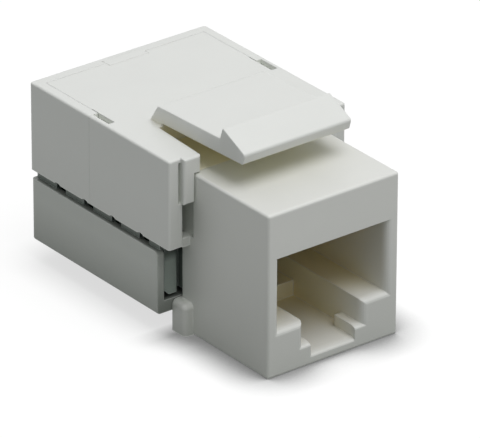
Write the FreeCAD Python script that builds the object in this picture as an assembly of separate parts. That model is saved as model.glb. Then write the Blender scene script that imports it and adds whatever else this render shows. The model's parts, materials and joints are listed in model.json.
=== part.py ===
import FreeCAD, Part
import math
import os

# Keystone jack: an eight-way network socket that snaps into a wall plate or patch panel.
# The front housing passes through the panel window, a sprung latch arm on top holds it there,
# and wires are pressed into forked contacts under the rear body by a grey cap.
# Millimetres, +Z up. Y runs from the front face (facing -Y) to the back. While it is modelled,
# the front face is at y = 0; export moves the middle of the length to the origin.

# Fits
seam = 0.05            # between mouldings that meet
snap_seam = 0.02       # between the cover and the shell, which snap tight together
slide_gap = 0.1        # between pieces that slide together

# Front housing, the block that fills the panel window
face_width = 14.7
face_height = 16.2
shoulder_y = 10.95     # front face to the shoulder that bears on the panel
edge_round = 0.25
skirt_length = 12.45   # lower side walls, which run on under the rear body
skirt_height = 9.75
neck_step = 0.25       # how far the neck is stepped in from the sides
neck_length = 2.65     # how far the neck reaches into the rear body
neck_drop = 1.25       # housing top to neck top

# Port for the plug
port_width = 12.1
port_height = 7.05
lintel_height = 4.6
notch_width = 6.6      # clears the plug's tab
floor_thickness = 1.05
step_height = 1.55     # the notch floor rises at its back
step_y = 9.9
catch_gap = 5.0        # between the two catches that hold the tab
catch_height = 1.15
catch_length = 2.95
lead_depth = 0.75      # rounded lead-in round the mouth
lead_side = 0.5
lead_top = 0.15
lead_floor = 0.3
lead_steps = 4

# Lugs at the lower rear corners, and the catch block above them
lug_out = 0.95
lug_front = 10.85
lug_length = 1.85
lug_height = 3.15
lug_round = 0.5
block_out = 0.85
block_front = 11.35
block_height = 0.9

# Contacts of the port: flat wires in a moulded carrier
contact_count = 8
contact_pitch = 1.02
wire_width = 0.45
wire_thickness = 0.4
wire_rise = 1.2        # port ceiling to the middle of the wires
bend_radius = 0.6      # of the wire's front bend, at its middle
pin_bend_radius = 0.5
spring_slope = 18.5    # degrees, at rest
spring_tip_y = 10.2
spring_cut = 0.1       # gap where the spring is cut from its anchored leg
pin_row_y = 15.2
pin_row_step = 1.7
pin_below_board = 0.3
groove_gap = 0.025
bay_width = 10.0
bay_front = 1.9
bay_height = 2.7
carrier_nose_y = 3.1
tongue_width = 9.0
carrier_block_width = 11.0
carrier_block_length = 3.9
flex_inset = 0.2       # carrier nose to the line where the springs bend
tine_thickness = 0.35  # ribs that keep the springs' free ends apart
tine_gap = 0.6         # springs' ends to the tines' rear
tine_length = 1.5
tine_drop = 2.9        # board level to the tines' lower ends

# Circuit board
board_thickness = 1.2
board_below_wire = 0.4
board_front = 14.2
board_side_gap = 0.15
board_rear_gap = 0.7
pin_hole_radius = 0.4
blade_hole_radius = 0.48

# Rear body: top cover and rear shell
body_width = 20.0
body_length = 31.8     # front face to the back of the shell
body_step_up = 1.8     # rear body top above the front housing top
side_wall = 1.0
top_wall = 1.2
front_wall = 1.2
rear_wall = 1.15
split_y = 22.75        # where the cover's sides end and the shell's begin
corner_round = 0.25
rear_corner_round = 0.3
rim_round = 0.2        # upper outer edges
rim_drop = 0.1         # fall of the shell's rear rim to its back
skirt_rib = 0.9        # cover's inner skirts beside the shell
skirt_rib_depth = 3.8
tab_inner_gap = 0.1
tab_width = 1.2
tab_reach = 0.5
tab_round = 0.2
tab_height = 4.5
tab_slit = 0.28
slit_below_top = 0.4
window_width = 0.65
window_length = 2.35
window_depth = 1.95
hook_gap = 0.08
hook_drop = 0.5        # hook's top below the body top
tongue_half = 2.2
tongue_reach = 0.55

# Latch arm and the recess under it
arm_width = 12.0
arm_tip_y = 5.15
arm_flex_y = 17.2      # line where the arm bends
arm_root_rise = 1.69   # arm top above the body top, at the root
arm_front_rise = 2.07  # the same at the tooth
arm_root_thickness = 1.48
arm_front_thickness = 1.33
tooth_y = 8.71
tooth_height = 1.14
tooth_lean = 0.35
tip_rise = 1.76
tip_thickness = 1.06
tip_slant = 0.3
arm_round = 0.12
ramp_top_y = 17.8
ramp_foot_y = 18.9
knuckle_gap = 0.04
recess_side_gap = 0.45
recess_flare = 0.35
recess_end_y = 17.1
recess_wall = 0.9
recess_floor = 1.2

# Wire cap and wire block under the rear body
cap_bottom = 2.05
cap_height = 6.25
cap_inset = 0.05       # on each side, from the rear body's width
cap_front = 12.75
cap_rear_gap = 0.1     # shell's back to the cap's back
cap_wall = 0.75
cap_floor = 1.2
cap_round = 0.3
cap_corner_round = 0.5
cable_inset = 0.4      # channel's side to the cable notch's side
wire_gap = 0.9         # open band between the cap and the rear body
flange_inset = 0.45
flange_thickness = 0.8
comb_front = 12.95
comb_tip_gap = 0.35    # cap floor to the comb's teeth
comb_reach = 5.5       # how far the wire slots run in from the comb's side
comb_round = 0.2
boss_inset = 0.6       # from the front housing's width
boss_reach = 0.4
relief_width = 0.6     # upright relief behind the front housing's side walls
relief_out = 0.1       # its outer edge, beyond the front housing's side
relief_depth = 0.8
relief_chamfer = 0.2
comb_chamfer = 0.6     # lower side edges
slot_count = 4         # wire slots on each side
slot_margin = 2.25     # comb's front to the first slot's middle
slot_rear_margin = 3.15
slot_width = 1.45
tooth_chamfer = 0.55
pusher_gap = 0.15
pusher_drop = 1.1      # pushers end this far below the cap's rim
wall_bite = 0.15       # how far a wire slot's arch reaches into the rear body

# Forked contacts that cut into the wires
blade_inset = 1.5      # comb's side to the blade's middle
blade_thickness = 0.45
blade_width = 2.2
blade_above_tips = 0.8
blade_top_above_rim = 0.8
fork_gap = 0.28
fork_mouth = 1.0
fork_mouth_depth = 0.7
fork_depth = 3.7
blade_pin_width = 0.6
blade_pin_above_board = 0.6
blade_gap = 0.12

# Levels and places that follow from the sizes above
half_face = face_width / 2
fh_rear = shoulder_y - seam
neck_half = half_face - neck_step
neck_top = face_height - neck_drop
neck_rear = fh_rear + neck_length
port_top = face_height - lintel_height
ledge_top = port_top - port_height
half_port = port_width / 2
half_notch = notch_width / 2
half_catch_gap = catch_gap / 2
catch_top = floor_thickness + catch_height
bay_top = port_top + bay_height

body_top = face_height + body_step_up
half_body = body_width / 2
cap_top = cap_bottom + cap_height
body_bottom = cap_top + wire_gap
body_inner = half_body - side_wall
front_wall_rear = shoulder_y + front_wall
cover_rear = body_length - rear_wall
ceiling = body_top - top_wall
rear_half = body_inner - snap_seam
tab_in = half_face + tab_inner_gap

wire_z = port_top + wire_rise
board_top = wire_z - board_below_wire
board_bottom = board_top - board_thickness
board_rear = cover_rear - board_rear_gap
board_half = body_inner - board_side_gap
carrier_top = bay_top - slide_gap
flex_y = carrier_nose_y + flex_inset

cap_half = half_body - cap_inset
cap_inner = cap_half - cap_wall
cap_rear = body_length - cap_rear_gap
cap_floor_top = cap_bottom + cap_floor
comb_half = cap_inner - slide_gap
comb_tip = cap_floor_top + comb_tip_gap
comb_rear = cap_rear - cap_wall - slide_gap
flange_half = half_body - flange_inset
flange_rear = body_length - flange_inset
flange_top = body_bottom - seam
flange_bottom = flange_top - flange_thickness
plate_half = body_inner - slide_gap
plate_front = neck_rear + slide_gap
plate_rear = cover_rear - slide_gap
slot_top = body_bottom + wall_bite
slot_first_y = comb_front + slot_margin
slot_pitch = (comb_rear - slot_rear_margin - slot_first_y) / (slot_count - 1)
slots_y = [slot_first_y + i * slot_pitch for i in range(slot_count)]
channel_half = comb_half - comb_reach
cable_half = channel_half - cable_inset

blade_x = comb_half - blade_inset
blade_bottom = comb_tip + blade_above_tips
blade_top = cap_top + blade_top_above_rim
contacts_x = [(i - (contact_count - 1) / 2) * contact_pitch for i in range(contact_count)]
pins_y = [pin_row_y + (i % 2) * pin_row_step for i in range(contact_count)]

arm_flex_z = body_top + arm_root_rise - arm_root_thickness / 2
over = 1.0             # how far cutting tools run past what they cut


def point(x, y, z):
    return FreeCAD.Vector(x, y, z)


def box(x, y, z):
    corner = point(x[0], y[0], z[0])
    return Part.makeBox(x[1] - x[0], y[1] - y[0], z[1] - z[0], corner)


def wide_box(half_width, y, z):
    return box((-half_width, half_width), y, z)


def mirrored(shape):
    return shape.mirror(point(0, 0, 0), point(1, 0, 0))


def both_sides(shape):
    return [shape, mirrored(shape)]


def rod_x(x, y, z, radius):
    return Part.makeCylinder(radius, x[1] - x[0], point(x[0], y, z), point(1, 0, 0))


def rod_z(x, y, z, radius):
    return Part.makeCylinder(radius, z[1] - z[0], point(x, y, z[0]), point(0, 0, 1))


def side_plate(outline, x):
    """Extrude a closed outline of (y, z) points from x[0] to x[1]."""
    corners = [point(x[0], y, z) for y, z in outline]
    wire = Part.makePolygon(corners + corners[:1])
    return Part.Face(wire).extrude(point(x[1] - x[0], 0, 0))


def plan_plate(outline, z):
    """Extrude a closed outline of (x, y) points from z[0] to z[1]."""
    corners = [point(x, y, z[0]) for x, y in outline]
    wire = Part.makePolygon(corners + corners[:1])
    return Part.Face(wire).extrude(point(0, 0, z[1] - z[0]))


def round_edges(shape, radius, chosen):
    edges = [edge for edge in shape.Edges if chosen(edge.BoundBox)]
    return shape.makeFillet(radius, edges)


def at(value, place):
    return abs(value - place) < 1e-6


def along_y(b, x, z):
    """True for an edge that runs along Y at |x| and z."""
    return at(b.XMax, b.XMin) and at(b.ZMax, b.ZMin) and at(abs(b.XMax), x) and at(b.ZMax, z)


def along_z(b, x, y):
    """True for an edge that runs along Z at |x| and y."""
    return at(b.XMax, b.XMin) and at(b.YMax, b.YMin) and at(abs(b.XMax), x) and at(b.YMax, y)


def along_x(b, y, z):
    """True for an edge that runs along X at y and z."""
    return at(b.YMax, b.YMin) and at(b.ZMax, b.ZMin) and at(b.YMax, y) and at(b.ZMax, z)


def port_outline(y, spread):
    """Mouth of the port at depth y; spread runs from 1 at the face to 0 inside."""
    side = lead_side * spread
    top = port_top + lead_top * spread
    ledge = ledge_top - lead_side * spread
    catch = catch_top - lead_floor * spread
    floor = floor_thickness - lead_floor * spread
    right = [
        (half_port + side, top),
        (half_port + side, ledge),
        (half_notch + side, ledge),
        (half_notch + side, catch),
        (half_catch_gap, catch),
        (half_catch_gap, floor),
    ]
    left = [(-x, z) for x, z in reversed(right)]
    corners = [point(x, y, z) for x, z in right + left]
    return Part.makePolygon(corners + corners[:1])


def port_lead():
    """Lead-in round the mouth: a quarter ellipse that opens towards the face."""
    outlines = [port_outline(-over, 1.0)]
    for i in range(lead_steps + 1):
        angle = math.pi / 2 * i / lead_steps
        outlines.append(port_outline(lead_depth * (1 - math.cos(angle)), 1 - math.sin(angle)))
    return Part.makeLoft(outlines, True, True)


def front_housing():
    body = wide_box(half_face, (0, skirt_length), (0, face_height))

    def outer(b):
        front = along_z(b, half_face, 0) or along_x(b, 0, 0) or along_x(b, 0, face_height)
        return front or along_y(b, half_face, face_height) or along_y(b, half_face, 0)

    body = round_edges(body, edge_round, outer)
    above_skirt = wide_box(half_face + over, (fh_rear, skirt_length + over),
                           (skirt_height, face_height + over))
    body = body.cut(above_skirt)
    neck = wide_box(neck_half, (fh_rear - over, neck_rear), (body_bottom + slide_gap, neck_top))
    solids = [neck]

    lug = box((half_face - over, half_face + lug_out), (lug_front, lug_front + lug_length), (0, lug_height))
    lug_x = half_face + lug_out
    lug = round_edges(lug, lug_round, lambda b: along_z(b, lug_x, lug_front)
                      or along_y(b, lug_x, lug_height) or along_x(b, lug_front, lug_height))
    catch = box((half_face - over, half_face + block_out), (block_front, skirt_length),
                (skirt_height - block_height, skirt_height))
    for piece in (lug, catch):
        solids += both_sides(piece)
    body = body.multiFuse(solids)

    main = wide_box(half_port, (-over, neck_rear + over), (ledge_top, port_top))
    notch = wide_box(half_notch, (-over, step_y), (floor_thickness, ledge_top + over))
    notch_back = wide_box(half_notch, (step_y - over, skirt_length + over),
                          (floor_thickness + step_height, ledge_top + over))
    bay = wide_box(bay_width / 2, (bay_front, neck_rear + over), (port_top - over, bay_top))
    body = body.cut([main, notch, notch_back, bay])

    rail = box((half_catch_gap, half_notch + over), (0, catch_length),
               (floor_thickness - over / 2, catch_top))
    body = body.multiFuse(both_sides(rail))
    return body.cut(port_lead()).removeSplitter()


def arm_underside(y):
    """Height of the latch arm's underside at y."""
    root_z = body_top + arm_root_rise - arm_root_thickness
    front_z = body_top + arm_front_rise - arm_front_thickness
    return root_z + (front_z - root_z) * (arm_flex_y - y) / (arm_flex_y - tooth_y)


def latch_arm():
    outline = [
        (arm_flex_y, body_top + arm_root_rise),
        (tooth_y, body_top + arm_front_rise),
        (tooth_y - tooth_lean, body_top + arm_front_rise + tooth_height),
        (arm_tip_y, body_top + tip_rise),
        (arm_tip_y + tip_slant, body_top + tip_rise - tip_thickness),
        (arm_flex_y, arm_underside(arm_flex_y)),
    ]
    half = arm_width / 2
    arm = side_plate(outline, (-half, half))
    arm = round_edges(arm, arm_round, lambda b: b.YMin < arm_flex_y - over)
    knuckle = rod_x((-half, half), arm_flex_y, arm_flex_z, arm_root_thickness / 2)
    return arm.fuse(knuckle).removeSplitter()


def latch_root():
    """Ramped block on the cover that the arm bends from."""
    half = arm_width / 2
    foot = body_top - top_wall / 2
    outline = [
        (arm_flex_y, foot),
        (ramp_foot_y, foot),
        (ramp_foot_y, body_top),
        (ramp_top_y, body_top + arm_root_rise),
        (arm_flex_y, body_top + arm_root_rise),
    ]
    block = side_plate(outline, (-half, half))
    socket = rod_x((-half - over, half + over), arm_flex_y, arm_flex_z, arm_root_thickness / 2 + knuckle_gap)
    return block, socket


def slot_arches():
    """Cutters for the arches that the wire slots bite into the rear body's lower edge."""
    radius = slot_width / 2
    across = (-half_body - over, half_body + over)
    return [rod_x(across, y, slot_top - radius, radius) for y in slots_y]


def top_cover():
    front = wide_box(half_body, (shoulder_y, split_y), (body_bottom, body_top))
    rounded = round_edges(front, corner_round, lambda b: along_z(b, half_body, shoulder_y))
    rounded = round_edges(rounded, rim_round, lambda b: at(b.ZMin, body_top) and b.YMin < split_y - over)
    hollow = wide_box(body_inner, (front_wall_rear, split_y + over), (body_bottom - over, ceiling))
    cover = rounded.cut(hollow)

    rear_plate = wide_box(rear_half, (split_y - over, cover_rear - snap_seam), (ceiling, body_top))
    skirt = box((rear_half - skirt_rib, rear_half), (split_y - over, cover_rear - slide_gap),
                (ceiling - skirt_rib_depth, ceiling + top_wall / 2))
    recess_half = arm_width / 2 + recess_side_gap
    recess_bottom = face_height
    well = wide_box(recess_half + recess_flare + recess_wall, (shoulder_y, recess_end_y + recess_wall),
                    (recess_bottom - recess_floor, body_top - top_wall / 2))
    root, socket = latch_root()
    tab_front = shoulder_y - tab_reach
    tab_rear = shoulder_y + front_wall / 2
    tab_end = tab_in + tab_width
    tab = box((tab_in, tab_end), (tab_front, tab_rear), (body_top - tab_height, body_top))
    ear = box((recess_half + recess_flare, tab_end), (tab_front, tab_rear),
              (face_height + slide_gap, body_top))
    fused = [rear_plate, well, root] + both_sides(skirt)
    for piece in (tab, ear):
        fused += both_sides(round_edges(piece, tab_round, lambda b: at(b.YMax, tab_front)))
    cover = cover.multiFuse(fused)

    right = [
        (recess_half, recess_end_y),
        (recess_half + recess_flare, tab_front),
        (recess_half + recess_flare, tab_front - over),
    ]
    left = [(-x, y) for x, y in reversed(right)]
    recess = plan_plate(right + left, (recess_bottom, body_top + over))
    neck_hole = wide_box(neck_half + seam, (shoulder_y - over, front_wall_rear + over),
                         (body_bottom - over, neck_top + seam))
    side_hole = wide_box(tab_end - tab_slit / 2, (shoulder_y - over, front_wall_rear + over),
                         (body_bottom - over, body_top - tab_height))
    slit = box((tab_end, tab_end + tab_slit), (shoulder_y - over, tab_rear),
               (body_top - tab_height, body_top - slit_below_top))
    window = box((half_body - side_wall - slide_gap, half_body - side_wall - slide_gap + window_width),
                 (split_y - window_length, split_y + over), (body_top - window_depth, body_top + over))
    tongue_front = cover_rear - tongue_reach - snap_seam
    tongue_slot = wide_box(tongue_half + snap_seam, (tongue_front, cover_rear + over),
                           (ceiling - over, body_top + over))
    cutters = [recess, socket, neck_hole, side_hole, tongue_slot]
    cutters += both_sides(slit) + both_sides(window)
    cutters += slot_arches()
    return cover.cut(cutters).removeSplitter()


def rear_shell():
    front = split_y + snap_seam
    outer = wide_box(half_body, (front, body_length), (body_bottom, body_top))
    outer = round_edges(outer, rear_corner_round, lambda b: along_z(b, half_body, body_length))
    outer = round_edges(outer, rim_round, lambda b: at(b.ZMin, body_top) and b.YMax > front + over)
    rim_slope = side_plate([
        (cover_rear, body_top),
        (body_length, body_top - rim_drop),
        (body_length + over, body_top - rim_drop),
        (body_length + over, body_top + over),
        (cover_rear, body_top + over),
    ], (-half_body - over, half_body + over))
    hollow = wide_box(body_inner, (split_y - over, cover_rear), (body_bottom - over, body_top + over))
    shell = outer.cut([rim_slope, hollow])
    tongue = wide_box(tongue_half, (cover_rear - tongue_reach, cover_rear + rear_wall / 2),
                      (ceiling + seam, body_top))
    window_in = half_body - side_wall - slide_gap
    hook = box((window_in + hook_gap, window_in + window_width - hook_gap),
               (split_y - window_length + hook_gap, split_y + side_wall),
               (body_top - window_depth + hook_gap, body_top - hook_drop))
    shell = shell.multiFuse([tongue] + both_sides(hook))
    return shell.cut(slot_arches()).removeSplitter()


def circuit_board():
    board = wide_box(board_half, (board_front, board_rear), (board_bottom, board_top))
    depth = (board_bottom - over, board_top + over)
    holes = [rod_z(x, y, depth, pin_hole_radius) for x, y in zip(contacts_x, pins_y)]
    for y in slots_y:
        holes += both_sides(rod_z(blade_x, y, depth, blade_hole_radius))
    return board.cut(holes)


def contact_carrier():
    tongue = wide_box(tongue_width / 2, (carrier_nose_y, neck_rear + over), (board_top, carrier_top))
    block_front_y = neck_rear + slide_gap
    block = wide_box(carrier_block_width / 2, (block_front_y, block_front_y + carrier_block_length),
                     (board_top, carrier_top))
    half_groove = wire_width / 2 + groove_gap
    groove_top = wire_z + wire_thickness / 2 + groove_gap
    grooves = []
    for x, y in zip(contacts_x, pins_y):
        end = y + wire_thickness / 2 + groove_gap
        grooves.append(box((x - half_groove, x + half_groove), (carrier_nose_y - over, end),
                           (board_top - over, groove_top)))
    tine_rear = spring_tip_y + tine_gap
    tines = []
    for i in range(contact_count + 1):
        x = (i - contact_count / 2) * contact_pitch
        tines.append(box((x - tine_thickness / 2, x + tine_thickness / 2),
                         (tine_rear - tine_length, tine_rear), (board_top - tine_drop, wire_z)))
    return tongue.fuse(block).cut(grooves).multiFuse(tines).removeSplitter()


def jack_contact(x, pin_y):
    """Anchored leg: along the carrier's groove, then down through the board."""
    half = wire_thickness / 2
    front = flex_y + spring_cut / 2
    bottom = board_bottom - pin_below_board
    centre_y = pin_y - pin_bend_radius
    centre_z = wire_z - pin_bend_radius
    sides = (x - wire_width / 2, x + wire_width / 2)
    run = box(sides, (front, centre_y), (wire_z - half, wire_z + half))
    pin = box(sides, (pin_y - half, pin_y + half), (bottom, centre_z))
    elbow = curved_wire(x, (centre_y, centre_z), pin_bend_radius, 0, 90)
    return run.multiFuse([pin, elbow]).removeSplitter()


def curved_wire(x, centre, radius, from_angle, to_angle):
    """Bent stretch of flat wire in the YZ plane; angles in degrees from +Y towards +Z."""
    start = math.radians(from_angle)
    inner = radius - wire_thickness / 2
    corners = []
    for reach in (inner, radius + wire_thickness / 2):
        corners.append((centre[0] + reach * math.cos(start), centre[1] + reach * math.sin(start)))
    first = point(x - wire_width / 2, *corners[0])
    second = point(x - wire_width / 2, *corners[1])
    across = point(wire_width, 0, 0)
    section = Part.Face(Part.makePolygon([first, second, second + across, first + across, first]))
    axis_point = point(0, *centre)
    return section.revolve(axis_point, point(1, 0, 0), to_angle - from_angle)


def contact_spring(x):
    """Sprung end: round the front bend, then back and down into the port."""
    half = wire_thickness / 2
    rear = flex_y - spring_cut / 2
    centre_y = bay_front + bend_radius + wire_thickness
    centre_z = wire_z - bend_radius
    downwards = 270
    turn_end = downwards - spring_slope
    sides = (x - wire_width / 2, x + wire_width / 2)
    run = box(sides, (centre_y, rear), (wire_z - half, wire_z + half))
    elbow = curved_wire(x, (centre_y, centre_z), bend_radius, 90, turn_end)
    slope = math.radians(spring_slope)
    angle = math.radians(turn_end)
    start_y = centre_y + bend_radius * math.cos(angle)
    start_z = centre_z + bend_radius * math.sin(angle)
    length = (spring_tip_y - start_y) / math.cos(slope)
    along = (math.cos(slope), -math.sin(slope))
    across = (math.sin(slope) * half, math.cos(slope) * half)
    leg = side_plate([
        (start_y + across[0], start_z + across[1]),
        (start_y + along[0] * length + across[0], start_z + along[1] * length + across[1]),
        (start_y + along[0] * length - across[0], start_z + along[1] * length - across[1]),
        (start_y - across[0], start_z - across[1]),
    ], sides)
    return run.multiFuse([elbow, leg]).removeSplitter()


def idc_block():
    plate = wide_box(plate_half, (plate_front, plate_rear), (flange_top - flange_thickness / 2, board_bottom))
    flange = wide_box(flange_half, (comb_front, flange_rear), (flange_bottom, flange_top))
    comb = wide_box(comb_half, (comb_front, comb_rear), (comb_tip, flange_bottom + flange_thickness / 2))
    lower = [edge for edge in comb.Edges if along_y(edge.BoundBox, comb_half, comb_tip)]
    comb = comb.makeChamfer(comb_chamfer, lower)
    comb = round_edges(comb, comb_round, lambda b: along_z(b, comb_half, comb_front))
    boss = wide_box(half_face - boss_inset, (comb_front - boss_reach, comb_front + over),
                    (comb_tip, flange_top))
    block = plate.multiFuse([flange, comb, boss])

    half_slot = slot_width / 2
    channel = wide_box(channel_half, (comb_front + cap_floor, body_length + over),
                       (comb_tip - over, flange_bottom))
    relief_edge = half_face + relief_out
    relief = plan_plate([
        (relief_edge - relief_width, comb_front - over),
        (relief_edge + relief_chamfer, comb_front - over),
        (relief_edge + relief_chamfer, comb_front),
        (relief_edge, comb_front + relief_chamfer),
        (relief_edge, comb_front + relief_depth),
        (relief_edge - relief_width, comb_front + relief_depth),
    ], (comb_tip - over, flange_bottom))
    cutters = [channel] + both_sides(relief)
    pocket_half = blade_thickness / 2 + blade_gap
    pin_half = blade_pin_width / 2 + blade_gap
    for y in slots_y:
        slot = side_plate([
            (y - half_slot - tooth_chamfer, comb_tip),
            (y - half_slot - tooth_chamfer, comb_tip - over),
            (y + half_slot + tooth_chamfer, comb_tip - over),
            (y + half_slot + tooth_chamfer, comb_tip),
            (y + half_slot, comb_tip + tooth_chamfer),
            (y + half_slot, slot_top - half_slot),
            (y - half_slot, slot_top - half_slot),
            (y - half_slot, comb_tip + tooth_chamfer),
        ], (channel_half - over, half_body))
        arch = rod_x((channel_half - over, half_body), y, slot_top - half_slot, half_slot)
        pocket = box((blade_x - pocket_half, blade_x + pocket_half),
                     (y - blade_width / 2 - blade_gap, y + blade_width / 2 + blade_gap),
                     (comb_tip - over, blade_top + blade_gap))
        pin_hole = box((blade_x - pocket_half, blade_x + pocket_half), (y - pin_half, y + pin_half),
                       (blade_top - over, board_bottom + over))
        for piece in (slot, arch, pocket, pin_hole):
            cutters += both_sides(piece)
    pin_room = pin_hole_radius + slide_gap
    outer_pin = max(contacts_x) + pin_room
    pin_pocket = wide_box(outer_pin, (min(pins_y) - pin_room, max(pins_y) + pin_room),
                          (board_bottom - 2 * pin_below_board, board_bottom + over))
    cutters.append(pin_pocket)
    return block.cut(cutters).removeSplitter()


def idc_contact(side, y):
    half = blade_width / 2
    gap = fork_gap / 2
    mouth = fork_mouth / 2
    pin = blade_pin_width / 2
    right = [
        (gap, blade_bottom + fork_depth),
        (gap, blade_bottom + fork_mouth_depth),
        (mouth, blade_bottom),
        (half, blade_bottom),
        (half, blade_top),
        (pin, blade_top),
        (pin, board_top + blade_pin_above_board),
    ]
    left = [(-dy, z) for dy, z in reversed(right)]
    outline = [(y + dy, z) for dy, z in right + left]
    middle = side * blade_x
    return side_plate(outline, (middle - blade_thickness / 2, middle + blade_thickness / 2))


def wire_cap():
    outer = wide_box(cap_half, (cap_front, cap_rear), (cap_bottom, cap_top))
    outer = round_edges(outer, cap_round, lambda b: along_y(b, cap_half, cap_bottom)
                        or along_x(b, cap_rear, cap_bottom) or along_z(b, cap_half, cap_rear))
    hollow = wide_box(cap_inner, (cap_front - over, cap_rear - cap_wall), (cap_floor_top, cap_top + over))
    cap = outer.cut(hollow)
    cap = round_edges(cap, cap_corner_round, lambda b: along_x(b, cap_front, cap_top))
    pushers = []
    pusher_half = slot_width / 2 - pusher_gap
    blade_clear = blade_thickness / 2 + blade_gap + pusher_gap
    levels = (cap_floor_top - cap_floor / 2, cap_top - pusher_drop)
    for y in slots_y:
        span = (y - pusher_half, y + pusher_half)
        outside = box((blade_x + blade_clear, cap_inner + cap_wall / 2), span, levels)
        inside = box((channel_half + pusher_gap, blade_x - blade_clear), span, levels)
        pushers += both_sides(outside) + both_sides(inside)
    cap = cap.multiFuse(pushers)
    cable_way = wide_box(cable_half, (cap_rear - cap_wall - over, cap_rear + over),
                         (cap_floor_top, cap_top + over))
    return cap.cut(cable_way).removeSplitter()


def build():
    nodes = {
        "front_housing": front_housing(),
        "top_cover": top_cover(),
        "latch_arm": latch_arm(),
        "rear_shell": rear_shell(),
        "contact_carrier": contact_carrier(),
        "circuit_board": circuit_board(),
        "idc_block": idc_block(),
        "wire_cap": wire_cap(),
    }
    for i, (x, pin_y) in enumerate(zip(contacts_x, pins_y), start=1):
        nodes["jack_contact_%d" % i] = jack_contact(x, pin_y)
        nodes["contact_spring_%d" % i] = contact_spring(x)
    number = 0
    for side in (-1, 1):
        for y in slots_y:
            number += 1
            nodes["idc_contact_%d" % number] = idc_contact(side, y)
    return nodes


os.makedirs("parts", exist_ok=True)
for name, shape in build().items():
    shape.translate(point(0, -body_length / 2, 0))
    shape.exportStep("parts/%s.step" % name)
    print(name, "solids", len(shape.Solids), "valid", shape.isValid(), "volume", round(shape.Volume, 3))
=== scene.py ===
import json
import math

import bmesh
import bpy
import numpy as np
from mathutils import Matrix, Vector


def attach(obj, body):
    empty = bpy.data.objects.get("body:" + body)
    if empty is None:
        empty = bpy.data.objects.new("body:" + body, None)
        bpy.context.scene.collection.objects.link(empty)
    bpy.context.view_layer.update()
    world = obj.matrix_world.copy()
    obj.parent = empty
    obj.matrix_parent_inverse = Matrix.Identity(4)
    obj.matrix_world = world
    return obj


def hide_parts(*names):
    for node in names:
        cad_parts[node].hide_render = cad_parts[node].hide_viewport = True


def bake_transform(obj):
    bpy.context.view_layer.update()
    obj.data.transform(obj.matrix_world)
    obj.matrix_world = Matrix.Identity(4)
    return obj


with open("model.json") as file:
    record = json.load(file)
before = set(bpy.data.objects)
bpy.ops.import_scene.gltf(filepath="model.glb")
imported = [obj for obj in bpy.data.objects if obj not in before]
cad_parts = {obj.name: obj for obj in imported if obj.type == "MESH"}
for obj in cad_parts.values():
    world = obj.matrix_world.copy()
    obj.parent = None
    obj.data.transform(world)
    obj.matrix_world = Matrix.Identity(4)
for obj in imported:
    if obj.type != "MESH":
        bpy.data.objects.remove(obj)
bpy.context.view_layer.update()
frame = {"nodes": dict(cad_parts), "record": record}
mm = 0.001

# camera: a long lens from the front left, a little above the latch
cameraSet = {
    "azimuth": -37.845,
    "elevation": 26.817,
    "roll": 0.189,
    "distance": 588.8 * mm,
    "focus": (0.36 * mm, -1.9 * mm, 8.01 * mm),
    "lens": 489.83,
    "sensor": 36.0,
    "clip": (0.05, 20),
}


def placeCamera(settings):
    turn, rise, roll = (math.radians(settings[k]) for k in ("azimuth", "elevation", "roll"))
    back = Vector((math.sin(turn) * math.cos(rise), -math.cos(turn) * math.cos(rise), math.sin(rise)))
    side = Vector((math.cos(turn), math.sin(turn), 0))
    up = back.cross(side)
    right = side * math.cos(roll) + up * math.sin(roll)
    top = up * math.cos(roll) - side * math.sin(roll)
    data = bpy.data.cameras.new("camera")
    data.lens = settings["lens"]
    data.sensor_width = settings["sensor"]
    data.clip_start, data.clip_end = settings["clip"]
    camera = bpy.data.objects.new("camera", data)
    turned = Matrix((right, top, back)).transposed().to_4x4()
    turned.translation = Vector(settings["focus"]) + back * settings["distance"]
    camera.matrix_world = turned
    bpy.context.scene.collection.objects.link(camera)
    bpy.context.scene.camera = camera


placeCamera(cameraSet)
print("camera placed")


# helpers for shader nodes: a socket takes a fixed value, or a link from another socket

def put(socket, value):
    if isinstance(value, bpy.types.NodeSocket):
        socket.id_data.links.new(value, socket)
    else:
        socket.default_value = value


def addNode(tree, kind, inputs=None, **values):
    node = tree.nodes.new("ShaderNode" + kind)
    for key, value in values.items():
        setattr(node, key, value)
    for label, value in (inputs or {}).items():
        put(node.inputs[label], value)
    return node


def maths(tree, operation, *inputs, clamp=False):
    return addNode(tree, "Math", dict(enumerate(inputs)), operation=operation, use_clamp=clamp).outputs[0]


def vectorMaths(tree, operation, inputs):
    return addNode(tree, "VectorMath", inputs, operation=operation)


def mapRange(tree, value, limits):
    return addNode(tree, "MapRange", {"Value": value, **limits}).outputs[0]


def between(first, last):
    # limits for mapRange, from two pairs of a value and what it becomes
    return {"From Min": first[0], "To Min": first[1], "From Max": last[0], "To Max": last[1]}


def mixColour(tree, share, first, second):
    inputs = {"Factor": share, "A": first, "B": second}
    return addNode(tree, "Mix", inputs, data_type="RGBA").outputs["Result"]


def apart(tree, vector):
    return addNode(tree, "SeparateXYZ", {0: vector}).outputs


def objectPlace(tree):
    return addNode(tree, "TexCoord").outputs["Object"]


def newMaterial(name):
    material = bpy.data.materials.new(name)
    material.use_nodes = True
    return material, material.node_tree


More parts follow.
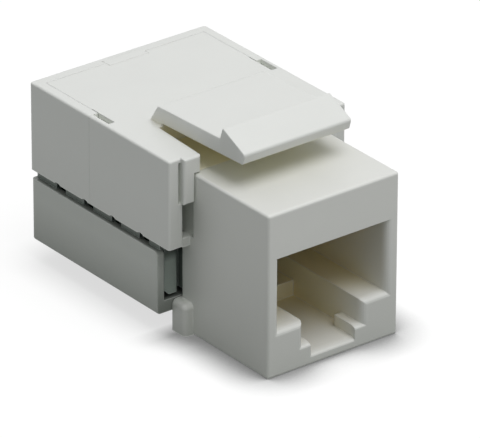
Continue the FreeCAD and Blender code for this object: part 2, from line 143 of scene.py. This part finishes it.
# studio: pale floor, one soft lamp high on the port side, and an even surround
studio = {
    "floorSize": 1.2,
    "floorLevel": -0.01 * mm,                # a hair below the object
    "floorSeen": (0.20, 0.20, 0.20, 1),      # what the camera meets, on top of the lift
    "floorBounce": (0.25, 0.26, 0.25, 1),    # what light meets on its way to the object
    "floorLift": 0.86,
    "floorTouch": 0.1 * mm,                  # light that starts closer to the floor goes through it
    "contactReach": 4.2 * mm,                # width of the shade where the object stands
    "contactDeepest": (5 / 9, 0.15),         # share of the sky that is open, and of the lift that is left
    "contactOpen": (1, 1),
    "contactFront": (-4 * mm, 1.0),          # up to here, and how much of the shade is kept
    "contactBack": (-2 * mm, 0.25),          # from here on, under the raised cap
    "contactSamples": 12,
    "ambient": 0.365,
    "ambientColour": (0.97, 1.0, 0.98, 1),
    "seenColour": (1, 1, 1, 1),
    "lamps": {
        "key": {"power": 1.75, "size": 0.44, "place": (0.05, -0.17, 0.51)},
    },
}


def areaLamp(name, power, size, place):
    data = bpy.data.lights.new(name, "AREA")
    data.shape = "DISK"
    data.size = size
    data.energy = power
    lamp = bpy.data.objects.new(name, data)
    lamp.location = place
    lamp.rotation_euler = Vector(place).to_track_quat("Z", "Y").to_euler()
    bpy.context.scene.collection.objects.link(lamp)


def seenRays(tree):
    # 1 for rays that show the surface itself: straight, mirrored or through glass
    path = addNode(tree, "LightPath").outputs
    straight = maths(tree, "MAXIMUM", path["Is Camera Ray"], path["Is Transmission Ray"])
    return maths(tree, "MAXIMUM", path["Is Glossy Ray"], straight)


def floorMaterial(settings):
    material, tree = newMaterial("floor")
    tree.nodes.clear()
    seen = seenRays(tree)
    tone = mixColour(tree, seen, settings["floorBounce"], settings["floorSeen"])
    matte = addNode(tree, "BsdfDiffuse", {"Color": tone})
    # painted contact shadow: the lift is weaker close to the object, with less of it kept towards the back,
    # under the raised cap
    around = addNode(tree, "AmbientOcclusion", {"Distance": settings["contactReach"]},
                     samples=settings["contactSamples"])
    shade = mapRange(tree, around.outputs["AO"], between(settings["contactDeepest"], settings["contactOpen"]))
    share = mapRange(tree, apart(tree, objectPlace(tree))["Y"],
                     between(settings["contactFront"], settings["contactBack"]))
    eased = addNode(tree, "Mix", {"Factor": share, "A": 1, "B": shade}).outputs["Result"]
    strength = maths(tree, "MULTIPLY", maths(tree, "MULTIPLY", eased, seen), settings["floorLift"])
    lift = addNode(tree, "Emission", {"Strength": strength})
    lifted = addNode(tree, "AddShader", {0: matte.outputs[0], 1: lift.outputs[0]})
    # clear when seen from below, and for light on its way to the side that stands on it
    length = addNode(tree, "LightPath").outputs["Ray Length"]
    touching = maths(tree, "LESS_THAN", length, settings["floorTouch"])
    clear = maths(tree, "MAXIMUM", addNode(tree, "NewGeometry").outputs["Backfacing"], touching)
    nothing = addNode(tree, "BsdfTransparent")
    shown = addNode(tree, "MixShader", {0: clear, 1: lifted.outputs[0], 2: nothing.outputs[0]})
    addNode(tree, "OutputMaterial", {"Surface": shown.outputs[0]})
    return material


def buildFloor(settings):
    half = settings["floorSize"] / 2
    corners = [(x * half, y * half, settings["floorLevel"]) for x, y in ((-1, -1), (1, -1), (1, 1), (-1, 1))]
    mesh = bpy.data.meshes.new("floor")
    mesh.from_pydata(corners, [], [(0, 1, 2, 3)])
    mesh.materials.append(floorMaterial(settings))
    floor = bpy.data.objects.new("floor", mesh)
    bpy.context.scene.collection.objects.link(floor)
    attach(floor, "wire_cap")   # so that it makes room for the cap when that is pulled off downwards


def buildSurround(settings):
    world = bpy.data.worlds.new("studio")
    world.use_nodes = True
    tree = world.node_tree
    tree.nodes.clear()
    seen = seenRays(tree)
    tone = mixColour(tree, seen, settings["ambientColour"], settings["seenColour"])
    level = mapRange(tree, seen, {"To Min": settings["ambient"]})
    sky = addNode(tree, "Background", {"Color": tone, "Strength": level})
    addNode(tree, "OutputWorld", {"Surface": sky.outputs[0]})
    bpy.context.scene.world = world


buildFloor(studio)
buildSurround(studio)
for name, lamp in studio["lamps"].items():
    areaLamp(name, **lamp)
bpy.context.scene.view_settings.view_transform = "Standard"
print("studio lit")

# shared effects, each a node group; what they take is set by the materials
effects = {
    "cloudDetail": 3,
    "cloudSpread": ((0.25, -1), (0.75, 1)),    # a value of the noise, and what it becomes
    "grainDetail": 2,
    "grainRoughness": 0.6,
    "creaseSamples": 8,
    "edgeSamples": 6,
}


def newGroup(name, takes, gives):
    tree = bpy.data.node_groups.new(name, "ShaderNodeTree")
    for label, value in takes.items():
        kind = "NodeSocketColor" if isinstance(value, tuple) else "NodeSocketFloat"
        tree.interface.new_socket(name=label, in_out="INPUT", socket_type=kind).default_value = value
    for label, kind in gives.items():
        tree.interface.new_socket(name=label, in_out="OUTPUT", socket_type="NodeSocket" + kind)
    return tree, tree.nodes.new("NodeGroupInput").outputs, tree.nodes.new("NodeGroupOutput").inputs


def buildMouldedGrain(settings):
    # fine spark texture of the mould, and slow clouding of colour and gloss where the plastic flowed
    takes = {"Colour": (0.8, 0.8, 0.8, 1), "Clouding": 0.02, "Cloud Scale": 260.0, "Grain Scale": 5200.0,
             "Roughness": 0.4, "Gloss Change": 0.06}
    gives = {"Colour": "Color", "Roughness": "Float", "Height": "Float"}
    tree, take, give = newGroup("mouldedGrain", takes, gives)
    spot = objectPlace(tree)
    cloud = addNode(tree, "TexNoise", {"Vector": spot, "Scale": take["Cloud Scale"],
                                       "Detail": settings["cloudDetail"]})
    grain = addNode(tree, "TexNoise", {"Vector": spot, "Scale": take["Grain Scale"],
                                       "Detail": settings["grainDetail"],
                                       "Roughness": settings["grainRoughness"]})
    spread = mapRange(tree, cloud.outputs[0], between(*settings["cloudSpread"]))
    level = maths(tree, "ADD", maths(tree, "MULTIPLY", spread, take["Clouding"]), 1)
    put(give["Colour"], vectorMaths(tree, "SCALE", {0: take["Colour"], "Scale": level}).outputs[0])
    put(give["Roughness"], maths(tree, "MULTIPLY_ADD", spread, take["Gloss Change"], take["Roughness"]))
    put(give["Height"], grain.outputs[0])
    return tree


def buildPaintedShadeAndBounce(settings):
    # painted shade and painted bounce light: colour moves to a tint where other surfaces within reach hide
    # the sky, from none at Open Above to the whole amount where all of it is hidden; walls inside the port
    # and the recess have their own painted tint
    takes = {"Colour": (0.8, 0.8, 0.8, 1), "Tint": (0.5, 0.5, 0.5, 1), "Inner Tint": (0.9, 0.8, 0.5, 1),
             "Inner Half": 0.0066, "Inner Bottom": 0.001, "Inner Top": 0.013, "Inner Front": -0.016,
             "Inner Fade": 0.004, "Reach": 0.006, "Amount": 0.8, "Open Above": 0.55}
    tree, take, give = newGroup("paintedShadeAndBounce", takes, {"Colour": "Color"})
    around = addNode(tree, "AmbientOcclusion", {"Distance": take["Reach"]}, samples=settings["creaseSamples"])
    hidden = mapRange(tree, around.outputs["AO"], between((0, 1), (take["Open Above"], 0)))
    share = maths(tree, "MULTIPLY", hidden, take["Amount"], clamp=True)
    spot = apart(tree, objectPlace(tree))
    narrow = maths(tree, "LESS_THAN", maths(tree, "ABSOLUTE", spot["X"]), take["Inner Half"])
    low = maths(tree, "LESS_THAN", spot["Z"], take["Inner Top"])
    high = maths(tree, "GREATER_THAN", spot["Z"], take["Inner Bottom"])
    past = maths(tree, "SUBTRACT", spot["Y"], take["Inner Front"])
    fade = maths(tree, "DIVIDE", past, take["Inner Fade"], clamp=True)
    room = maths(tree, "MULTIPLY", narrow, maths(tree, "MULTIPLY", low, high))
    tint = mixColour(tree, maths(tree, "MULTIPLY", room, fade), take["Tint"], take["Inner Tint"])
    put(give["Colour"], mixColour(tree, share, take["Colour"], tint))
    return tree


def buildEdgeHighlightAndWear(settings):
    # edges are rounded off in the shading, and come out paler: a painted highlight on the plastics, and worn
    # edges on the metals;
    # a tight seam, at a given place along the body, stays sharp
    takes = {"Colour": (0.8, 0.8, 0.8, 1), "Edge Colour": (0.9, 0.9, 0.9, 1), "Radius": 0.00012,
             "Gain": 2.0, "Amount": 0.5, "Seam": 1.0, "Seam Half": 0.0002}
    tree, take, give = newGroup("edgeHighlightAndWear", takes, {"Colour": "Color", "Normal": "Vector"})
    past = maths(tree, "SUBTRACT", apart(tree, objectPlace(tree))["Y"], take["Seam"])
    clear = maths(tree, "GREATER_THAN", maths(tree, "ABSOLUTE", past), take["Seam Half"])
    radius = maths(tree, "MULTIPLY", take["Radius"], clear)
    rounded = addNode(tree, "Bevel", {"Radius": radius}, samples=settings["edgeSamples"]).outputs["Normal"]
    flat = addNode(tree, "NewGeometry").outputs["True Normal"]
    along = vectorMaths(tree, "DOT_PRODUCT", {0: rounded, 1: flat}).outputs["Value"]
    mask = maths(tree, "MULTIPLY", maths(tree, "SUBTRACT", 1, along), take["Gain"], clamp=True)
    share = maths(tree, "MULTIPLY", mask, take["Amount"])
    put(give["Colour"], mixColour(tree, share, take["Colour"], take["Edge Colour"]))
    # edges towards the floor keep their face's tilt
    turn = apart(tree, rounded)
    tilt = maths(tree, "MAXIMUM", turn["Z"], apart(tree, flat)["Z"])
    joined = addNode(tree, "CombineXYZ", {"X": turn["X"], "Y": turn["Y"], "Z": tilt})
    put(give["Normal"], vectorMaths(tree, "NORMALIZE", {0: joined.outputs[0]}).outputs[0])
    return tree


mouldedGrain = buildMouldedGrain(effects)
paintedShadeAndBounce = buildPaintedShadeAndBounce(effects)
edgeHighlightAndWear = buildEdgeHighlightAndWear(effects)
print("shared effects built")

# moulded plastics, by the record's slots, with light and shade painted into the colour: shade is a painted
# shade towards the floor and in wide hollows, coming in between two heights; deep is a painted tone in narrow
# gaps, darker on the grey parts and standing in for bounced light on the white ones; inner is a painted tone
# on the walls in the port and the recess, a warm bounce on the white and tan parts and a dark shade on the
# grey ones
plastics = {
    "housing_white": {"colour": (0.80, 0.80, 0.775, 1), "edge": (0.95, 0.95, 0.93, 1),
                      "shade": (0.42, 0.43, 0.40, 1), "innerShade": (0.62, 0.61, 0.56, 1),
                      "shadeFrom": (16.2 * mm, 0.3), "shadeTo": (12 * mm, 0.8), "shadeOpen": 1.0,
                      "deep": (0.80, 0.82, 0.77, 1), "inner": (0.88, 0.78, 0.46, 1), "innerTop": 13 * mm,
                      "deepAmount": 1.0, "roughness": 0.40, "clouding": 0.012, "grain": 0.10},
    "cover_white": {"colour": (0.80, 0.805, 0.785, 1), "edge": (0.95, 0.95, 0.94, 1),
                    "shade": (0.42, 0.43, 0.40, 1), "innerShade": (0.46, 0.46, 0.40, 1),
                    "shadeFrom": (16.2 * mm, 0.3), "shadeTo": (12 * mm, 0.8), "shadeOpen": 1.0,
                    "deep": (0.88, 0.90, 0.85, 1), "inner": (0.90, 0.84, 0.58, 1), "innerTop": 30 * mm,
                    "deepAmount": 1.0, "roughness": 0.38, "clouding": 0.012, "grain": 0.10,
                    "seam": 6.85 * mm},
    "cap_grey": {"colour": (0.59, 0.61, 0.58, 1), "edge": (0.74, 0.76, 0.73, 1),
                 "shade": (0.16, 0.18, 0.15, 1), "innerShade": (0.16, 0.18, 0.15, 1),
                 "shadeFrom": (6.5 * mm, 0.12), "shadeTo": (1.8 * mm, 1.0), "shadeOpen": 1.5,
                 "deep": (0.14, 0.15, 0.14, 1), "inner": (0.14, 0.15, 0.14, 1), "innerTop": 13 * mm,
                 "deepAmount": 1.0, "roughness": 0.34, "clouding": 0.02, "grain": 0.12},
    "comb_plastic": {"colour": (0.40, 0.455, 0.42, 1), "edge": (0.56, 0.61, 0.59, 1),
                     "shade": (0.02, 0.03, 0.02, 1), "innerShade": (0.02, 0.03, 0.02, 1),
                     "shadeFrom": (6.9 * mm, 0.0), "shadeTo": (7.7 * mm, 1.0), "shadeOpen": 2.2,
                     "deep": (0.05, 0.07, 0.06, 1), "inner": (0.05, 0.07, 0.06, 1), "innerTop": 13 * mm,
                     "deepAmount": 0.8, "roughness": 0.42, "clouding": 0.03, "grain": 0.15},
    "carrier_plastic": {"colour": (0.55, 0.54, 0.48, 1), "edge": (0.66, 0.65, 0.60, 1),
                        "shade": (0.36, 0.35, 0.31, 1), "innerShade": (0.36, 0.35, 0.31, 1),
                        "shadeFrom": (16.2 * mm, 0.3), "shadeTo": (12 * mm, 0.8), "shadeOpen": 1.0,
                        "deep": (0.50, 0.48, 0.38, 1), "inner": (0.56, 0.50, 0.34, 1), "innerTop": 30 * mm,
                        "deepAmount": 1.0, "roughness": 0.5, "clouding": 0.03, "grain": 0.15},
}
plasticFeel = {
    "cloudScale": 260.0,
    "grainScale": 5200.0,
    "glossChange": 0.05,
    "grainDepth": 0.02 * mm,
    "edgeRadius": 0.21 * mm,
    "edgeGain": 3.0,
    "edgeAmount": 0.9,
    "seamHalf": 0.28 * mm,
    "noSeam": 1.0,                 # a place well off the body
    "shadeReach": 14 * mm,
    "shadeFade": 0.5 * mm,
    "deepReach": 10 * mm,
    "deepFade": 4 * mm,
    "deepOpen": 0.65,
    "innerHalf": 6.6 * mm,
    "innerBottom": 0.5 * mm,
    "innerFront": -15.8 * mm,
}


def useGroup(tree, group, inputs):
    return addNode(tree, "Group", inputs, node_tree=group).outputs


def addBump(tree, inputs):
    return addNode(tree, "Bump", inputs).outputs["Normal"]


def mouldedPlastic(name, settings, feel):
    material, tree = newMaterial(name)
    shader = tree.nodes["Principled BSDF"].inputs
    grain = useGroup(tree, mouldedGrain, {
        "Colour": settings["colour"], "Clouding": settings["clouding"], "Cloud Scale": feel["cloudScale"],
        "Grain Scale": feel["grainScale"], "Roughness": settings["roughness"],
        "Gloss Change": feel["glossChange"]})
    inside = {"Inner Half": feel["innerHalf"], "Inner Bottom": feel["innerBottom"],
              "Inner Top": settings["innerTop"], "Inner Front": feel["innerFront"]}
    # painted shade: colour darkens where the sky is hidden, more towards the floor between two heights
    height = apart(tree, objectPlace(tree))["Z"]
    amount = mapRange(tree, height, between(settings["shadeFrom"], settings["shadeTo"]))
    shade = useGroup(tree, paintedShadeAndBounce, {
        "Colour": grain["Colour"], "Tint": settings["shade"], "Inner Tint": settings["innerShade"], **inside,
        "Inner Fade": feel["shadeFade"], "Reach": feel["shadeReach"], "Amount": amount,
        "Open Above": settings["shadeOpen"]})
    # painted tone in narrow gaps and on the port and recess walls: painted shade, and painted bounce light
    # where it is paler or warm
    deep = useGroup(tree, paintedShadeAndBounce, {
        "Colour": shade["Colour"], "Tint": settings["deep"], "Inner Tint": settings["inner"], **inside,
        "Inner Fade": feel["deepFade"], "Reach": feel["deepReach"], "Amount": settings["deepAmount"],
        "Open Above": feel["deepOpen"]})
    # painted highlight: edges come out paler
    edge = useGroup(tree, edgeHighlightAndWear, {
        "Colour": deep["Colour"], "Edge Colour": settings["edge"], "Radius": feel["edgeRadius"],
        "Gain": feel["edgeGain"], "Amount": feel["edgeAmount"],
        "Seam": settings.get("seam", feel["noSeam"]), "Seam Half": feel["seamHalf"]})
    put(shader["Base Color"], edge["Colour"])
    put(shader["Roughness"], grain["Roughness"])
    put(shader["Normal"], addBump(tree, {
        "Height": grain["Height"], "Normal": edge["Normal"],
        "Strength": settings["grain"], "Distance": feel["grainDepth"]}))
    return material


metals = {
    "contact_gold": {"colour": (0.83, 0.60, 0.24, 1), "worn": (0.90, 0.74, 0.42, 1), "roughness": 0.30},
    "contact_tin": {"colour": (0.62, 0.63, 0.63, 1), "worn": (0.80, 0.80, 0.80, 1), "roughness": 0.38},
}
metalFeel = {
    "cloudScale": 900.0,
    "clouding": 0.06,
    "glossChange": 0.08,
    "streakScale": (14000.0, 300.0, 300.0),
    "streakStrength": 0.3,
    "streakDepth": 0.004 * mm,
    "edgeRadius": 0.06 * mm,
    "edgeGain": 3.0,
    "edgeAmount": 0.7,
}


def platedMetal(name, settings, feel):
    # plated strip: drawn streaks along its length, a little clouding, and paler worn edges
    material, tree = newMaterial(name)
    shader = tree.nodes["Principled BSDF"].inputs
    put(shader["Metallic"], 1)
    grain = useGroup(tree, mouldedGrain, {
        "Colour": settings["colour"], "Clouding": feel["clouding"], "Cloud Scale": feel["cloudScale"],
        "Grain Scale": feel["cloudScale"], "Roughness": settings["roughness"],
        "Gloss Change": feel["glossChange"]})
    edge = useGroup(tree, edgeHighlightAndWear, {
        "Colour": grain["Colour"], "Edge Colour": settings["worn"], "Radius": feel["edgeRadius"],
        "Gain": feel["edgeGain"], "Amount": feel["edgeAmount"]})
    stretch = addNode(tree, "Mapping", {"Vector": objectPlace(tree), "Scale": feel["streakScale"]})
    streak = addNode(tree, "TexNoise", {"Vector": stretch.outputs[0], "Scale": 1})
    put(shader["Base Color"], edge["Colour"])
    put(shader["Roughness"], grain["Roughness"])
    put(shader["Normal"], addBump(tree, {
        "Height": streak.outputs[0], "Normal": edge["Normal"],
        "Strength": feel["streakStrength"], "Distance": feel["streakDepth"]}))
    return material


boardLook = {
    "mask": (0.035, 0.16, 0.075, 1),
    "overCopper": (0.06, 0.24, 0.10, 1),
    "trackPitch": 0.62 * mm,
    "trackShare": 0.45,
    "trackBend": 4,            # how far the tracks wander, in pitches
    "bendScale": 180,
    "roughness": 0.32,
    "reliefStrength": 0.4,
    "relief": 0.03 * mm,
}


def boardMaterial(settings):
    # green solder mask, paler over the copper tracks that run along the board
    material, tree = newMaterial("board")
    shader = tree.nodes["Principled BSDF"].inputs
    put(shader["Roughness"], settings["roughness"])
    spot = objectPlace(tree)
    bend = addNode(tree, "TexNoise", {"Vector": spot, "Scale": settings["bendScale"]})
    pitch = settings["trackPitch"]
    across = apart(tree, spot)["X"]
    shift = maths(tree, "MULTIPLY_ADD", bend.outputs[0], settings["trackBend"] * pitch, across)
    rows = maths(tree, "PINGPONG", shift, pitch / 2)
    track = maths(tree, "LESS_THAN", rows, pitch / 2 * settings["trackShare"])
    put(shader["Base Color"], mixColour(tree, track, settings["mask"], settings["overCopper"]))
    put(shader["Normal"], addBump(tree, {
        "Height": track, "Strength": settings["reliefStrength"], "Distance": settings["relief"]}))
    return material


made = {name: mouldedPlastic(name, settings, plasticFeel) for name, settings in plastics.items()}
made.update({name: platedMetal(name, settings, metalFeel) for name, settings in metals.items()})
made["board"] = boardMaterial(boardLook)
slotOf = {row["node"]: row["material_slot"] for row in frame["record"]["subparts"]}
for node, obj in frame["nodes"].items():
    for slot in obj.material_slots:
        slot.material = made[slotOf[node]]
print("materials set")

# latch: one moulding with the cover, with a ramped root; a rounded skin, built here and not set up to bend,
# takes the place of the latch arm
latch = {
    "outline": (                 # along and above the body's top, and the corner's rounding, in mm
        (19.125, -0.30, 0.0),    # foot of the ramp, inside the cover
        (17.82, 1.712, 0.22),    # top of the ramp
        (8.71, 2.07, 0.10),      # foot of the tooth
        (8.36, 3.21, 0.18),      # tooth
        (5.15, 1.76, 0.26),      # tip
        (5.45, 0.70, 0.18),
        (17.24, 0.21, 0.0),      # root of the underside
        (17.28, -0.30, 0.0),
    ),
    "top": 18.0,
    "back": 15.9,                # from the front face to the middle of the length
    "halfWidth": 6.02,
    "rim": 0.06,
    "step": 0.35,
    "closest": 0.00875,          # stops nearer than this count as one
    "cornerParts": 7,
    "rimParts": 4,
    "bend": (18.4, 16.0),
    "bendHeight": 18.95,
    "sharpTurn": 40,
}


def roundedChains(rows, parts, step, closest):
    # each corner c becomes a curve (1-t)^2 a + 2t(1-t) c + t^2 b, between points a and b on its two runs;
    # the ring is then read as an upper and a lower height over shared stops along the arm
    rows = np.array(rows)
    corner, radius = rows[:, :2], rows[:, 2:]
    before, after = np.roll(corner, 1, 0) - corner, np.roll(corner, -1, 0) - corner
    a = corner + before / np.linalg.norm(before, axis=1, keepdims=True) * radius
    b = corner + after / np.linalg.norm(after, axis=1, keepdims=True) * radius
    t = np.linspace(0, 1, parts)[None, :, None]
    ring = (1 - t) ** 2 * a[:, None] + 2 * t * (1 - t) * corner[:, None] + t ** 2 * b[:, None]
    ring = ring.reshape(-1, 2)
    ring = np.roll(ring, -ring[:, 0].argmax(), 0)
    tip = ring[:, 0].argmin()
    upper, lower = ring[:tip + 1][::-1], np.vstack((ring[tip:], ring[:1]))
    even = np.arange(ring[tip, 0] + step, ring[0, 0], step)
    stops = np.unique(np.concatenate((upper[:, 0], lower[:, 0], even)))
    distinct = np.concatenate(([True], np.diff(stops) > closest))
    stops = np.append(stops[distinct][:-1], ring[0, 0])
    return stops, np.interp(stops, *upper.T), np.interp(stops, *lower.T)


def barAcross(stops, upper, lower, halfWidth, rim, rimParts):
    # the ring of both chains is carried across from side to side, and drawn in along its own normals over
    # a quarter circle at both ends: inset = rim (1 - cos q), place = halfWidth - rim + rim sin q
    ring = np.vstack((np.column_stack((stops, upper)), np.column_stack((stops, lower))[-2:0:-1]))
    run = np.roll(ring, -1, 0) - np.roll(ring, 1, 0)
    run /= np.linalg.norm(run, axis=1, keepdims=True)
    inward = np.column_stack((run[:, 1], -run[:, 0]))
    q = np.linspace(0, np.pi / 2, rimParts)
    inset = rim * (1 - np.cos(q))
    across = halfWidth - rim + rim * np.sin(q)
    inset, across = np.concatenate((inset[::-1], inset)), np.concatenate((-across[::-1], across))
    rings = ring[None] + inward[None] * inset[:, None, None]
    count, around = len(across), len(ring)
    points = np.dstack((np.broadcast_to(across[:, None], (count, around)), rings)).reshape(-1, 3)
    i, j = np.meshgrid(np.arange(count - 1) * around, np.arange(around), indexing="ij")
    nextJ = (j + 1) % around
    walls = np.stack((i + j, i + around + j, i + around + nextJ, i + nextJ), -1).reshape(-1, 4)
    # both ends are closed by strips between the chains, with a triangle at each tip
    k = np.arange(1, len(stops) - 2)
    strips = np.column_stack((k, k + 1, around - k - 1, around - k))
    last = len(stops) - 1
    tips = np.array(((0, 1, around - 1), (last - 1, last, last + 1)))
    far = (count - 1) * around
    ends = [strips.tolist(), (strips[:, ::-1] + far).tolist(), tips.tolist(), (tips[:, ::-1] + far).tolist()]
    return points, walls.tolist() + sum(ends, [])


def buildLatch(settings):
    chains = roundedChains(*(settings[k] for k in ("outline", "cornerParts", "step", "closest")))
    points, faces = barAcross(*chains, settings["halfWidth"], settings["rim"], settings["rimParts"])
    points += (0, -settings["back"], settings["top"])
    mesh = bpy.data.meshes.new("latch_skin")
    mesh.from_pydata(points * mm, [], faces)
    mesh.polygons.foreach_set("use_smooth", np.ones(len(faces), bool))
    shape = bmesh.new()
    shape.from_mesh(mesh)
    bmesh.ops.recalc_face_normals(shape, faces=shape.faces)
    shape.to_mesh(mesh)
    shape.free()
    mesh.set_sharp_from_angle(angle=math.radians(settings["sharpTurn"]))
    skin = bpy.data.objects.new("latch_skin", mesh)
    bpy.context.scene.collection.objects.link(skin)
    even = skin.modifiers.new("even", "WEIGHTED_NORMAL")
    even.keep_sharp = True
    mesh.materials.append(made["cover_white"])
    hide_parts("latch_arm")
    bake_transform(skin)
    print("latch:", len(mesh.vertices), "points")


buildLatch(latch)
